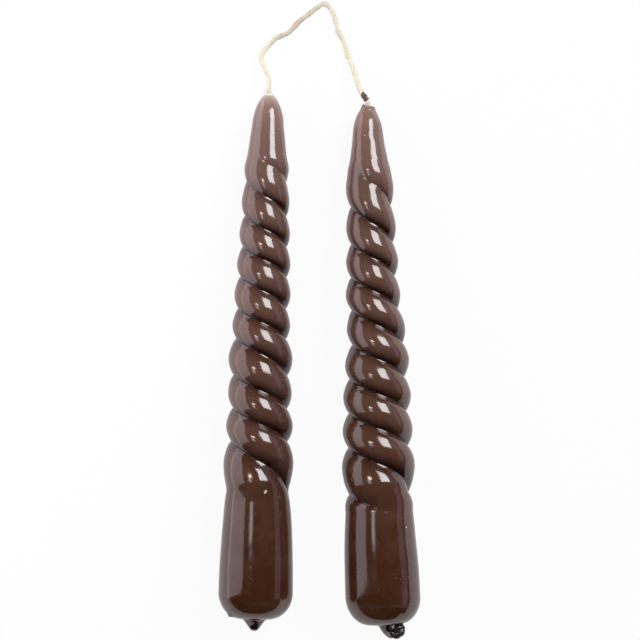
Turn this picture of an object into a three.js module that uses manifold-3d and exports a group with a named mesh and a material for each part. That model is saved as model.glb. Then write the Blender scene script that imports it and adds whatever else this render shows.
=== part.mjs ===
// A pair of hand-dipped twisted taper candles, still joined at their tips by the one wick that they
// were dipped on. They lie on a table: X runs across the pair, Y from the bases to the tips, Z up.
// Lengths are in millimetres and angles in degrees.
import * as THREE from 'three';
import { mergeVertices } from 'three/addons/utils/BufferGeometryUtils.js';
import Module from 'manifold-3d';

const wasm = await Module();
wasm.setup();

// Walls and clearances
const clearance = 0.3; // between two pieces that touch
const coatWall = 0.8; // coloured wax and lacquer over the pale core
const wickDiameter = 2.0;

// Each candle is measured along its own axis, from the flat end of its base (0) to its tip.
// Its tip lies at tipAt on the table, and lean turns it about there. Its twist has two lobes, with a
// crease on each side between them. lobeRadius is the reach of their crests, and flankRadius is half
// the width across them. Both taper from the twist's start to its end. Each crease sinks by
// creaseDepth, from creaseReach degrees to either side of it.
const leftCandle = {
  name: 'left',
  length: 178.5,
  tipAt: [-17.36, 92.26],
  lean: -1.46,
  base: { radius: 12.6, flatRadius: 4.8, cornerHeight: 8.8, narrowing: 0.15 },
  twist: {
    start: 43.2, endBelowTip: 22.5,
    lobeRadius: [12.4, 7.5], flankRadius: [10.6, 6.7], creaseDepth: 1.3, creaseReach: 34,
    halfTurn: 11.1, slowStretch: 19.0, slowRate: 0.35,
    fadeIn: 8.0, fadeOut: 7.0,
  },
  tip: { coneRadius: 6.9, shoulderRadius: 5.4, domeHeight: 10.2, rimWall: 0.6 },
  coreShows: 1.0, // the coat stops this far short of the tip
};

const rightCandle = {
  name: 'right',
  length: 176.5,
  tipAt: [16.2, 88.22],
  lean: 1.87,
  base: { radius: 12.7, flatRadius: 4.8, cornerHeight: 9.5, narrowing: 0.15 },
  twist: {
    start: 44.9, endBelowTip: 22.0,
    lobeRadius: [12.8, 7.5], flankRadius: [11.0, 6.4], creaseDepth: 1.3, creaseReach: 34,
    halfTurn: 11.7, slowStretch: 12.6, slowRate: 0.35,
    fadeIn: 8.0, fadeOut: 7.0,
  },
  tip: { coneRadius: 6.4, shoulderRadius: 5.2, domeHeight: 9.0, rimWall: 0.6 },
  coreShows: 0,
};

// The pale bead of bare wax round the wick, where a core shows at its tip
const tipBead = { foot: 2.0, height: 0.6, lip: 0.2 };

// The left wick tail: a small cone of wax, from its foot on the base to its rounded end
const coneTail = {
  footRadius: 3.4, waistRadius: 1.6, waistAt: 2.9,
  endRadius: 1.2, endRound: 0.3, length: 3.9, offset: -0.5,
};

// The right wick tail curls round: points in its candle's own X and axis directions
const curledTail = { diameter: 3.2, route: [[0, 0], [0.4, -2.0], [1.9, -3.7], [4.2, -3.9], [6.4, -2.2]] };

// The brown film on the wick above the right tip
const sleeve = { wall: 0.3, length: 3.5, aboveTip: 1.5 };

// The free wick leaves each tip stiffly, drops to the table and runs on to its fold. Points near a
// tip are measured across and onwards from it, each with the share of the tip's lift that it keeps.
// Points near the fold are measured from the fold, and lie on the table.
const foldAt = [1.5, 123.1];
const wickOffTable = 0.05;
const leftLegRoute = {
  fromTip: [
    [0, 0.9, 1], [0.1, 3.6, 0.96], [0.1, 6.0, 0.82], [-1.6, 9.4, 0.53],
    [-2.6, 12.8, 0.25], [-2.1, 15.2, 0.1], [0.1, 17.6, 0.02],
  ],
  fromFold: [[-5.4, -3.7], [-8.3, -5.8], [-12.2, -9.8], [-16.7, -11.9]],
};
const rightLegRoute = {
  fromTip: [
    [0, 0.4, 1], [0.2, 2.1, 0.98], [-1.8, 4.7, 0.87], [-3.1, 8.1, 0.65],
    [-4.5, 12.8, 0.35], [-6.3, 17.7, 0.09],
  ],
  fromFold: [[3.1, -3.0], [4.8, -9.2], [6.5, -12.4]],
};
const legSteps = 18;

// Fineness of the surfaces: columns round the axis, in fours so that crests and creases get one
const coatFineness = { columns: 20, ringStep: 1.5, cornerRings: 5 };
const coreFineness = { columns: 12, ringStep: 2.8, cornerRings: 4 };
const wickSides = 8;

const finishes = {
  lacquer: { color: 0x48281c, roughness: 0.12, metalness: 0 },
  paleWax: { color: 0xeadcc4, roughness: 0.5, metalness: 0 },
  cotton: { color: 0xf2e8d8, roughness: 0.95, metalness: 0 },
  darkWax: { color: 0x2a1612, roughness: 0.2, metalness: 0 },
};

const wickRadius = wickDiameter / 2;
const channelRadius = wickRadius + clearance;
const foldRoom = wickRadius + clearance; // the legs end this far from the fold, to clear each other
const { lerp, smoothstep, degToRad } = THREE.MathUtils;

function piece(name, geometry, finish) {
  const mesh = new THREE.Mesh(geometry, new THREE.MeshStandardMaterial(finishes[finish]));
  mesh.name = name;
  return mesh;
}

function toSolid(geometry) {
  geometry.deleteAttribute('normal');
  geometry.deleteAttribute('uv');
  const merged = mergeVertices(geometry);
  return new wasm.Manifold(new wasm.Mesh({
    numProp: 3,
    vertProperties: new Float32Array(merged.attributes.position.array),
    triVerts: new Uint32Array(merged.index.array),
  }));
}

function toGeometry(solid) {
  const mesh = solid.getMesh();
  const geometry = new THREE.BufferGeometry();
  geometry.setAttribute('position', new THREE.BufferAttribute(mesh.vertProperties, 3));
  geometry.setIndex(new THREE.BufferAttribute(mesh.triVerts, 1));
  return geometry;
}

// A round bar along a candle's axis
function axialBar(radiusBelow, radiusAbove, from, to, sides = wickSides) {
  return new THREE.CylinderGeometry(radiusAbove, radiusBelow, to - from, sides)
    .rotateX(Math.PI / 2)
    .translate(0, 0, (from + to) / 2);
}

function twistEndOf({ length, twist }) {
  return length - twist.endBelowTip;
}

// How many half turns the twist has made at a height: it starts slowly at the base
function halfTurnsAt(candle, height) {
  const { twist } = candle;
  const run = Math.min(height, twistEndOf(candle) + twist.fadeOut / 2) - twist.start;
  if (run <= 0) return 0;
  const slow = Math.min(run, twist.slowStretch);
  const share = slow / twist.slowStretch;
  const slowTurns = slow * lerp(twist.slowRate, 1, share / 2);
  return (slowTurns + run - slow) / twist.halfTurn;
}

// The radius that the candle has at a height where it isn't twisted, drawn in by inset all round
function roundRadius(candle, height, inset) {
  const { length, base, twist, tip } = candle;
  const twistEnd = twistEndOf(candle);
  if (height < base.cornerHeight) {
    const down = (base.cornerHeight - height) / (base.cornerHeight - inset);
    const bulge = base.radius - inset - base.flatRadius;
    return base.flatRadius + bulge * Math.sqrt(Math.max(0, 1 - down * down));
  }
  if (height < (twist.start + twistEnd) / 2) {
    const up = (height - base.cornerHeight) / (twist.start - base.cornerHeight);
    return base.radius * (1 - base.narrowing * up * up) - inset;
  }
  const domeFoot = length - tip.domeHeight;
  const along = (height - twistEnd) / (domeFoot - twistEnd);
  const cone = lerp(tip.coneRadius, tip.shoulderRadius, Math.min(along, 1)) - inset;
  const up = Math.max(0, height - domeFoot) / (tip.domeHeight - inset);
  const rim = channelRadius + tip.rimWall;
  return rim + (cone - rim) * Math.sqrt(Math.max(0, 1 - up * up));
}

// The section is two overlapping circles, one for each lobe, which become one where the twist fades.
// The creases lie at 90 degrees to the lobes' crests, with rounded shoulders that fall into them.
function sectionAt(candle, height, inset) {
  const { start, fadeIn, fadeOut, lobeRadius, flankRadius, creaseDepth, creaseReach } = candle.twist;
  const end = twistEndOf(candle);
  const along = (height - start) / (end - start);
  const lobe = lerp(lobeRadius[0], lobeRadius[1], along);
  const flank = lerp(flankRadius[0], flankRadius[1], along);
  const fade = smoothstep(height, start - fadeIn / 2, start + fadeIn / 2)
    * (1 - smoothstep(height, end - fadeOut / 2, end + fadeOut / 2));
  const circle = lerp(roundRadius(candle, height, inset), flank - inset, fade);
  const offset = (lobe - flank) * fade;
  return (angle) => {
    const toCrest = Math.abs(Math.cos(angle));
    const round = offset * toCrest + Math.sqrt(circle ** 2 - (offset * Math.sin(angle)) ** 2);
    const fromCrease = Math.min(Math.asin(toCrest) / degToRad(creaseReach), 1);
    const shoulder = 1 - Math.sqrt(1 - (1 - fromCrease) ** 2);
    return round - creaseDepth * fade * shoulder;
  };
}

// Ring heights: close together round the base's corner and the tip's dome, even along the twist
function ringHeights(candle, inset, fineness) {
  const { length, base, twist, tip } = candle;
  const heights = [];
  const spread = (from, to, count, shape = (t) => t) => {
    for (let i = 0; i < count; i += 1) heights.push(lerp(from, to, shape(i / count)));
  };
  const twistFoot = twist.start - twist.fadeIn / 2;
  const twistHead = twistEndOf(candle) + twist.fadeOut / 2;
  const domeFoot = length - tip.domeHeight;
  const quarter = Math.PI / 2;
  spread(inset, base.cornerHeight, fineness.cornerRings, (t) => 1 - Math.cos(t * quarter));
  spread(base.cornerHeight, twistFoot, 4);
  spread(twistFoot, twistHead, Math.round((twistHead - twistFoot) / fineness.ringStep));
  spread(twistHead, domeFoot, 3);
  spread(domeFoot, length - inset, fineness.cornerRings, (t) => Math.sin(t * quarter));
  heights.push(length - inset);
  return heights;
}

// The whole candle's body, drawn in by inset all round. Each ring is turned with the twist, so that
// the crests and the creases each run along one column of corners.
function twistedBody(candle, inset, fineness) {
  const { columns } = fineness;
  const heights = ringHeights(candle, inset, fineness);
  const points = [];
  for (const height of heights) {
    const radiusAt = sectionAt(candle, height, inset);
    const turned = Math.PI * (0.5 - halfTurnsAt(candle, height));
    for (let column = 0; column < columns; column += 1) {
      const angle = (2 * Math.PI * column) / columns;
      const radius = radiusAt(angle);
      points.push(radius * Math.cos(angle + turned), radius * Math.sin(angle + turned), height);
    }
  }
  const lowCentre = points.length / 3;
  points.push(0, 0, heights[0], 0, 0, heights.at(-1));
  const lastRing = (heights.length - 1) * columns;
  const faces = [];
  for (let column = 0; column < columns; column += 1) {
    const next = (column + 1) % columns;
    for (let ring = 0; ring < lastRing; ring += columns) {
      const above = ring + columns;
      faces.push(ring + column, ring + next, above + next, ring + column, above + next, above + column);
    }
    faces.push(lowCentre, next, column, lowCentre + 1, lastRing + column, lastRing + next);
  }
  const body = new THREE.BufferGeometry();
  body.setAttribute('position', new THREE.Float32BufferAttribute(points, 3));
  body.setIndex(faces);
  return toSolid(body);
}

// The coat is the candle's outside less the space for its core, open where the wick goes through
function colourCoat(candle) {
  const overhang = 5;
  const channel = axialBar(channelRadius, channelRadius, -overhang, candle.length + overhang);
  let coat = twistedBody(candle, 0, coatFineness)
    .subtract(twistedBody(candle, coatWall, coreFineness))
    .subtract(toSolid(channel));
  if (candle.coreShows > 0) {
    const reach = candle.base.radius;
    const mouth = axialBar(reach, reach, candle.length - candle.coreShows, candle.length + overhang);
    coat = coat.subtract(toSolid(mouth));
  }
  return toGeometry(coat);
}

function waxCore(candle) {
  const { length, coreShows, tip } = candle;
  let core = twistedBody(candle, coatWall + clearance, coreFineness);
  if (coreShows > 0) {
    const [foot, top] = [channelRadius + tip.rimWall, channelRadius + tipBead.lip];
    const bead = axialBar(foot, top, length - tipBead.foot, length + tipBead.height, coreFineness.columns);
    core = core.add(toSolid(bead));
  }
  const channel = axialBar(channelRadius, channelRadius, 0, length + 2 * tipBead.height);
  return toGeometry(core.subtract(toSolid(channel)));
}

function coreWick({ length, coreShows }) {
  const end = coreShows > 0 ? length + tipBead.height : length;
  return axialBar(wickRadius, wickRadius, 0, end);
}

function curveThrough(points) {
  return new THREE.CatmullRomCurve3(points.map((point) => new THREE.Vector3(...point)));
}

// A cord or a film on one: a round section carried along a curve, with a bore if it is a sleeve
function tubeAlong(curve, radius, steps, boreRadius = 0) {
  const round = (shape, size) => {
    for (let side = 0; side <= wickSides; side += 1) {
      const angle = (2 * Math.PI * side) / wickSides;
      const draw = side === 0 ? 'moveTo' : 'lineTo';
      shape[draw](size * Math.cos(angle), size * Math.sin(angle));
    }
    return shape;
  };
  const section = round(new THREE.Shape(), radius);
  if (boreRadius > 0) section.holes.push(round(new THREE.Path(), boreRadius));
  return new THREE.ExtrudeGeometry(section, { steps, extrudePath: curve, curveSegments: 1 });
}

function coneShapedTail() {
  const { footRadius, waistRadius, waistAt, endRadius, endRound, length, offset } = coneTail;
  const profile = [
    [0, -length], [endRadius, endRound - length], [waistRadius, -waistAt],
    [(waistRadius + footRadius) / 2, -waistAt / 2], [footRadius, 0], [0, 0],
  ].map(([radius, height]) => new THREE.Vector2(radius, height));
  return new THREE.LatheGeometry(profile, 16)
    .rotateX(Math.PI / 2)
    .translate(offset, 0, -clearance);
}

function curlingTail() {
  const points = curledTail.route.map(([across, along]) => [across, 0, along - clearance]);
  return tubeAlong(curveThrough(points), curledTail.diameter / 2, 10);
}

// A candle is built upright, laid down with its tip away from the viewer and at its place, and
// lowered until its lowest lobes touch the table. The taper of the lobes sets how far the tip dips.
function layDown(candle, pieces) {
  const { lobeRadius, start } = candle.twist;
  const dip = Math.atan((lobeRadius[0] - lobeRadius[1]) / (twistEndOf(candle) - start));
  const group = new THREE.Group();
  group.add(...pieces);
  group.rotation.set(-Math.PI / 2 - dip, 0, degToRad(candle.lean), 'ZYX');
  const reach = new THREE.Vector3(0, 0, candle.length).applyEuler(group.rotation);
  group.position.set(...candle.tipAt, 0).sub(reach);
  group.updateMatrixWorld(true);
  group.position.z -= new THREE.Box3().setFromObject(group, true).min.z;
  group.updateMatrixWorld(true);
  return group;
}

function candlePieces(candle, tail) {
  return [
    piece(`${candle.name}_colour_coat`, colourCoat(candle), 'lacquer'),
    piece(`${candle.name}_wax_core`, waxCore(candle), 'paleWax'),
    piece(`${candle.name}_core_wick`, coreWick(candle), 'cotton'),
    piece(`${candle.name}_wick_tail`, tail, 'darkWax'),
  ];
}

// A leg of the free wick, from a laid candle's tip to foldRoom short of the fold
function wickLeg(candle, laid, { fromTip, fromFold }) {
  const tip = laid.localToWorld(new THREE.Vector3(0, 0, candle.length));
  const lying = wickOffTable + wickRadius;
  const nearTip = fromTip.map(([across, onward, share]) => {
    const height = wickRadius + share * (tip.z - wickRadius);
    return [tip.x + across, tip.y + onward, Math.max(height, lying)];
  });
  const nearFold = fromFold.map(([across, onward]) => [foldAt[0] + across, foldAt[1] + onward, lying]);
  const fold = new THREE.Vector3(...foldAt, lying);
  const towards = new THREE.Vector3(...nearFold[0]).sub(fold).normalize();
  const end = fold.addScaledVector(towards, foldRoom).toArray();
  return curveThrough([...nearTip, ...nearFold.reverse(), end]);
}

const leftLaid = layDown(leftCandle, candlePieces(leftCandle, coneShapedTail()));
const rightLaid = layDown(rightCandle, candlePieces(rightCandle, curlingTail()));
const leftLeg = wickLeg(leftCandle, leftLaid, leftLegRoute);
const rightLeg = wickLeg(rightCandle, rightLaid, rightLegRoute);

// The sleeve follows the wick, measured from the right tip
function sleeveCurve() {
  const places = [0, 1 / 3, 2 / 3, 1].map((t) => sleeve.aboveTip + t * sleeve.length);
  const whole = rightLeg.getLength();
  return new THREE.CatmullRomCurve3(places.map((place) => rightLeg.getPointAt(place / whole)));
}

const sleeveTube = tubeAlong(sleeveCurve(), channelRadius + sleeve.wall, 3, channelRadius);
const pair = new THREE.Group();
pair.add(
  leftLaid,
  rightLaid,
  piece('wick_left_leg', tubeAlong(leftLeg, wickRadius, legSteps), 'cotton'),
  piece('wick_right_leg', tubeAlong(rightLeg, wickRadius, legSteps), 'cotton'),
  piece('right_wick_sleeve', sleeveTube, 'darkWax'),
);

export default pair;
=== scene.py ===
import math

import bpy
import numpy as np
from mathutils import Matrix, Vector


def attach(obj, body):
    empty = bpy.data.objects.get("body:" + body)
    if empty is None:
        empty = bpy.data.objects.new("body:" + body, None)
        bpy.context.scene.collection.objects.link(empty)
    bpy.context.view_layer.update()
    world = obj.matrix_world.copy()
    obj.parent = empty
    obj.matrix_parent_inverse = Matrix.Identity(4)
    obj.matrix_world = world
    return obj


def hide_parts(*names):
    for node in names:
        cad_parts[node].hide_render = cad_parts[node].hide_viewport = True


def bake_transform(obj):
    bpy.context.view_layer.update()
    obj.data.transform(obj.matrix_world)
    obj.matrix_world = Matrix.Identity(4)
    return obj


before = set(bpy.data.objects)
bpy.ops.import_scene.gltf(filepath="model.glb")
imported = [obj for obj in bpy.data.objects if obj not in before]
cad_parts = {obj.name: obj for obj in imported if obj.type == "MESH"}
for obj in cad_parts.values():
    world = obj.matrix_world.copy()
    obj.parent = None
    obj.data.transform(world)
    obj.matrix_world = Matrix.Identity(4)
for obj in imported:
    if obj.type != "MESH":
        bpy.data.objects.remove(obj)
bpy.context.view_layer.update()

# The pieces are worked out in millimetres, as they were measured, and laid down in metres
mm = 0.001
wickRadius = 1.0
channelRadius = 1.3
coatWall = 0.8


# Camera: straight down over the pair, as the photograph was taken
camera = {"above": (0.00014, 0.01533), "height": 1.0, "focusHeight": 0.012, "viewWidth": 0.2176}

bpy.ops.object.camera_add(location=(*camera["above"], camera["height"]), rotation=(0, 0, 0))
cameraObject = bpy.context.object
cameraObject.name = "camera"
cameraObject.data.sensor_width = 36
cameraObject.data.lens = 36 * (camera["height"] - camera["focusHeight"]) / camera["viewWidth"]
cameraObject.data.clip_start = 0.05
cameraObject.data.clip_end = 20
bpy.context.scene.camera = cameraObject
bpy.context.scene.view_settings.view_transform = "Standard"
print("camera is up")


# Candles: each is measured in millimetres along its own axis, from the flat end of its base to its
# tip. What both share comes first. Reaches round the axis are in degrees from a crease. A pair of
# radii or droops is for the start and the end of the twist. Lists say how far the twist runs ahead,
# the lobes swell or the axis sways at some heights.
bothCandles = {
    "flatRadius": 4.8, "narrowing": 0.15, "fadeIn": 8.0, "fadeOut": 7.0, "slowRate": 0.35, "waviness": 0.14,
    "crowding": 0.36, "creaseDepth": 0.6, "wallReach": 30.0, "ledgeReach": 42.0, "droop": (1.1, 1.35),
    # The under, back and line settings spread the painted shade of the creases
    "underReach": 62.0, "underFall": 1.5, "backReach": 62.0, "backShade": 0.5, "lineSharpness": 9.0,
    "softEnd": 17.0, "softness": 0.85, "softestBelowEnd": 2.0, "rimStretch": 1.0, "mouthStretch": 3.0,
}
leftCandle = {
    **bothCandles, "name": "left", "body": "left_candle",
    "length": 178.5, "tipAt": (-17.36, 92.26), "lean": -1.46, "radius": 12.6, "cornerHeight": 8.8,
    "twistStart": 43.2, "twistEnd": 156.0, "lobeRadius": (12.4, 7.5), "flankRadius": (10.6, 6.7),
    "beginsLower": 0.0, "halfTurn": 11.1, "slowStretch": 19.0,
    "coneRadius": 6.9, "coneFlare": 0.0, "shoulderRadius": 5.4, "domeHeight": 10.2, "domeCurve": (1.75, 0.75),
    "rimRadius": 1.4, "rimFlare": 0.0, "mouthSlant": 0.0, "mouthTilt": 0.0, "coatTop": 178.1, "lumpSize": 9.0,
    "runsAhead": [
        (43, 0), (64, 0.2), (81, 0.4), (93, 1.9), (104, 1.0), (115, 0.8), (125, 0), (136, -0.6), (152, 0),
    ],
    "marks": [
        ((-30.3, -84.3), 1.0, (-0.5, -0.7, 0)), ((-16.4, -82.0), 1.0, (0, 0, -0.22)),
        ((-18.0, -42.4), 1.1, (0, 0, -0.35)), ((-24.2, -12.6), 0.7, (0, 0, 0.3)),
        ((-23.0, -13.9), 0.7, (0, 0, -0.3)), ((-22.4, -12.0), 0.7, (0, 0, -0.2)),
    ],
    "swells": [(0, 0), (76, -0.1), (87, 0.5), (98, -0.1), (110, 0.1), (150, 0)],
    "sways": [(0, 0), (30, -0.05), (43, -0.3), (60, -0.2), (95, -0.5), (130, -0.15), (178, 0)],
}
rightCandle = {
    **bothCandles, "name": "right", "body": "right_candle",
    "length": 176.5, "tipAt": (16.2, 88.22), "lean": 1.87, "radius": 12.7, "cornerHeight": 9.5,
    "twistStart": 44.9, "twistEnd": 154.5, "lobeRadius": (12.8, 7.5), "flankRadius": (11.0, 6.4),
    "beginsLower": 7.0, "halfTurn": 11.7, "slowStretch": 12.6,
    "coneRadius": 6.4, "coneFlare": 0.9, "shoulderRadius": 5.2, "domeHeight": 9.0, "domeCurve": (1.6, 0.85),
    "rimRadius": 1.9, "rimFlare": 0.4, "mouthSlant": 0.7, "mouthTilt": 0.3, "coatTop": 176.5, "lumpSize": 8.0,
    "runsAhead": [(43, 0), (108, 0), (120, -0.5), (131, -0.8), (143, 0.3), (150, 1.7), (159, 6.6), (168, 8)],
    "marks": [
        ((27.4, -84.4), 1.1, (0, 0, -0.25)), ((25.0, -81.0), 0.8, (0, 0, 0.12)),
        ((26.8, -81.9), 0.7, (0, 0, 0.14)), ((28.3, -83.4), 0.7, (0, 0, 0.14)),
        ((19.0, 79.5), 3.2, (-0.35, 0, -0.1)),
    ],
    "swells": [
        (0, 0), (36, 0), (42.5, -0.9), (49, 0), (60, 0.1), (80, 0.3), (90, 0.2), (102, -0.2), (114, -0.25),
        (126, -0.1), (140, 0.1), (150, 0.35),
    ],
    "sways": [
        (0, 0), (12, -0.2), (30, -0.45), (44, -0.4), (60, -0.1), (84, 0.2), (93, 0.8), (102, 0.5),
        (112, -0.1), (130, 0), (173, 0), (177, 0.45),
    ],
}
coatFineness = {"columns": 96, "ringStep": 0.45, "corner": 14, "side": 16, "cone": 8, "dome": 14}
coreFineness = {"columns": 40, "ringStep": 1.2, "corner": 6, "side": 8, "cone": 4, "dome": 6}


def blendIn(value, low, high):
    share = np.clip((value - low) / (high - low), 0, 1)
    return share * share * (3 - 2 * share)


def between(pair, share):
    return pair[0] + (pair[1] - pair[0]) * share


# A smooth line through a few points that were measured
def unevenness(knots, height):
    places, values = np.array(knots, float).T
    at = np.clip(np.searchsorted(places, height, side="right") - 1, 0, len(places) - 2)
    share = blendIn(height, places[at], places[at + 1])
    return values[at] + (values[at + 1] - values[at]) * share


# The heights at which the twist begins to fade in and has faded out
def twistReach(candle):
    foot = candle["twistStart"] - candle["fadeIn"] / 2 - candle["beginsLower"] / 2
    return foot, candle["twistEnd"] + candle["fadeOut"] / 2


# How many half turns the twist has made at each height: it starts slowly at the base
def halfTurnsAt(candle, height):
    height = height - unevenness(candle["runsAhead"], height)
    run = np.minimum(height, twistReach(candle)[1]) - candle["twistStart"]
    below = np.clip(run, -candle["beginsLower"], 0)
    run = np.maximum(run, 0)
    slow = np.minimum(run, candle["slowStretch"])
    rate = between((candle["slowRate"], 1), slow / candle["slowStretch"] / 2)
    return (below + slow * rate + run - slow) / candle["halfTurn"]


# The radius where the candle isn't twisted, drawn in by inset all round
def roundRadius(candle, height, inset):
    corner, start, end = candle["cornerHeight"], candle["twistStart"], candle["twistEnd"]
    down = (corner - height) / (corner - inset)
    bulge = candle["radius"] - inset - candle["flatRadius"]
    base = candle["flatRadius"] + bulge * np.sqrt(np.clip(1 - down * down, 0, 1))
    up = (height - corner) / (start - corner)
    side = candle["radius"] * (1 - candle["narrowing"] * up * up) - inset
    domeFoot = candle["length"] - candle["domeHeight"]
    along = np.minimum((height - end) / (domeFoot - end), 1)
    cone = between((candle["coneRadius"], candle["shoulderRadius"]), along) - inset
    cone = cone + candle["coneFlare"] * (1 - np.clip(along, 0, 1)) ** 2
    rise = np.maximum(0, height - domeFoot) / (candle["domeHeight"] - inset)
    sharpness, bluntness = candle["domeCurve"]
    drawnIn = np.clip(1 - rise**sharpness, 0, 1) ** bluntness
    dome = candle["rimRadius"] + (cone - candle["rimRadius"]) * drawnIn
    rimFoot = candle["length"] - candle["rimStretch"]
    dome = dome + candle["rimFlare"] * blendIn(height, rimFoot, candle["length"])
    return np.where(height < corner, base, np.where(height < (start + end) / 2, side, dome))


# The radius at each height and angle, and how much painted shade it gets, which is darkest at the creases.
# The section is two overlapping circles, one for each lobe, which become one where the twist fades.
def sectionRadius(candle, height, angle, inset):
    start, end = candle["twistStart"], candle["twistEnd"]
    along = (height - start) / (end - start)
    lobe = between(candle["lobeRadius"], along)
    flank = between(candle["flankRadius"], along)
    foot, head = twistReach(candle)
    fade = blendIn(height, foot, foot + candle["fadeIn"])
    fade = fade * (1 - blendIn(height, head - candle["fadeOut"], head))
    circle = between((roundRadius(candle, height, inset), flank - inset), fade)
    circle = circle + unevenness(candle["swells"], height) * fade
    offset = (lobe - flank) * fade
    # Wax sags towards the base, so a lobe is steep on that side of its crest, as a wall over the crease,
    # and long and gentle on the other, with a soft ledge where wax has settled
    side = np.where(np.sin(angle) < 0, 1, -1)
    fromCrease = np.degrees(np.arctan2(np.cos(angle) * side, np.abs(np.sin(angle))))
    overLobe = np.mod(-fromCrease / 180, 1) ** between(candle["droop"], np.clip(along, 0, 1))
    outward, sideways = offset * np.sin(math.pi * overLobe), offset * np.cos(math.pi * overLobe)
    full = outward + np.sqrt(circle**2 - sideways**2)
    wall = np.clip(fromCrease / candle["wallReach"], 0, 1)
    ledge = np.clip(-fromCrease / candle["ledgeReach"], 0, 1)
    steep = 1 - np.sqrt(1 - (1 - wall) ** 2)
    soft = (1 + np.cos(math.pi * ledge)) / 2
    sunkAndShaded = np.where(fromCrease > 0, steep, soft)
    # Creases soften towards the tip, and painted shade darkens them, on the wall more than on the ledge
    softened = blendIn(height, end - candle["softEnd"], end - candle["softestBelowEnd"])
    sharp = fade * (1 - candle["softness"] * softened)
    # Painted shade: full under the wall, weaker back over the ledge, and a dark line at the crease itself
    under = np.clip(1 - fromCrease / candle["underReach"], 0, 1) ** candle["underFall"]
    back = candle["backShade"] * np.clip(1 + fromCrease / candle["backReach"], 0, 1)
    line = np.clip(1 - ledge * candle["lineSharpness"], 0, 1)
    shade = sharp * np.where(fromCrease > 0, under, np.maximum(line, back))
    return full - candle["creaseDepth"] * sharp * sunkAndShaded, shade


# Heights of a candle's rings, closest where its form bends most
def ringHeights(candle, inset, fineness, top):
    foot, head = twistReach(candle)
    domeFoot = candle["length"] - candle["domeHeight"]
    quarter = math.pi / 2
    corner = 1 - np.cos(np.linspace(0, quarter, fineness["corner"], endpoint=False))
    rise = np.sin(np.linspace(0, quarter, fineness["dome"]))
    turns = round((head - foot) / fineness["ringStep"])
    return np.concatenate([
        between((inset, candle["cornerHeight"]), corner),
        np.linspace(candle["cornerHeight"], foot, fineness["side"], endpoint=False),
        np.linspace(foot, head, turns, endpoint=False),
        np.linspace(head, domeFoot, fineness["cone"], endpoint=False),
        between((domeFoot, top), rise),
    ])


def deselectAll():
    bpy.ops.object.select_all(action="DESELECT")


def selectOnly(piece):
    deselectAll()
    piece.select_set(True)
    bpy.context.view_layer.objects.active = piece


# Turns every face of the mesh in edit mode outwards, and leaves that mode
def faceOutwards():
    bpy.ops.mesh.select_all(action="SELECT")
    bpy.ops.mesh.normals_make_consistent(inside=False)
    bpy.ops.object.mode_set(mode="OBJECT")


# A long open tube: two circles bridged, with the rings that the shaping needs. Its size is of no
# account, because the shaping places every point.
def openTube(name, columns, rings, radius=0.01, height=0.1):
    deselectAll()
    bpy.ops.mesh.primitive_circle_add(vertices=columns, radius=radius, location=(0, 0, 0))
    tube = bpy.context.object
    tube.name = tube.data.name = name
    bpy.ops.object.mode_set(mode="EDIT")
    bpy.ops.mesh.select_all(action="SELECT")
    bpy.ops.mesh.duplicate_move(TRANSFORM_OT_translate={"value": (0, 0, height)})
    bpy.ops.mesh.select_all(action="SELECT")
    bpy.ops.mesh.bridge_edge_loops(number_cuts=rings - 2, interpolation="LINEAR")
    faceOutwards()
    return tube


def readPoints(piece):
    points = np.empty(len(piece.data.vertices) * 3)
    piece.data.vertices.foreach_get("co", points)
    return points.reshape(-1, 3)


def writePoints(piece, points):
    piece.data.vertices.foreach_set("co", points.ravel())
    piece.data.update()


# The ring and the angle of each point of an open tube
def ringAndAngle(tube, rings):
    points = readPoints(tube)
    ring = np.rint(points[:, 2] / points[:, 2].max() * (rings - 1)).astype(int)
    return ring, np.arctan2(points[:, 1], points[:, 0])


# Presses a tube into the twisted candle. Each ring is turned with the twist, so that crests and
# creases run along columns, and the columns crowd together at the creases. The closing rings, each
# a radius and a height, draw the tube in before its first ring and after its last.
def pressTwist(tube, candle, inset, rings, footRings=(), headRings=()):
    allRings = [*footRings, *((0, height) for height in rings), *headRings]
    closedTo, heights = np.array(allRings, float).T
    ring, angle = ringAndAngle(tube, len(heights))
    angle = angle + candle["crowding"] * np.sin(2 * angle)
    height = heights[ring]
    radius, sunkAndShaded = sectionRadius(candle, np.clip(height, inset, candle["length"] - inset), angle, inset)
    radius = np.where(closedTo[ring] > 0, closedTo[ring], radius)
    turned = angle + math.pi * (0.5 - halfTurnsAt(candle, height))
    # The mouth is lower towards the viewer, which is -Y before a candle is laid down, and to the right
    nearMouth = blendIn(height, candle["length"] - candle["mouthStretch"], candle["length"])
    height = height + candle["mouthSlant"] * nearMouth * np.sin(turned)
    height = height - candle["mouthTilt"] * nearMouth * np.cos(turned)
    sway = unevenness(candle["sways"], height)
    pressed = np.stack([radius * np.cos(turned) + sway, radius * np.sin(turned), height], axis=1) * mm
    writePoints(tube, pressed)
    # The crease attribute carries the painted shade of the creases to the lacquer's colour
    crease = tube.data.attributes.new("crease", "FLOAT", "POINT")
    crease.data.foreach_set("value", sunkAndShaded)


def applyModifier(piece, kind, **values):
    modifier = piece.modifiers.new(kind.lower(), kind)
    for name, value in values.items():
        setattr(modifier, name, value)
    selectOnly(piece)
    bpy.ops.object.modifier_apply(modifier=modifier.name)


# Soft lumps, as hand dipping leaves them
def makeUneven(piece, size, strength):
    lumps = bpy.data.textures.new("softLumps", "CLOUDS")
    lumps.noise_scale = size * mm
    lumps.noise_depth = 1
    applyModifier(piece, "DISPLACE", texture=lumps, strength=strength * mm, mid_level=0.5)


def shadeSmooth(piece):
    selectOnly(piece)
    bpy.ops.object.shade_smooth()


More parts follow.
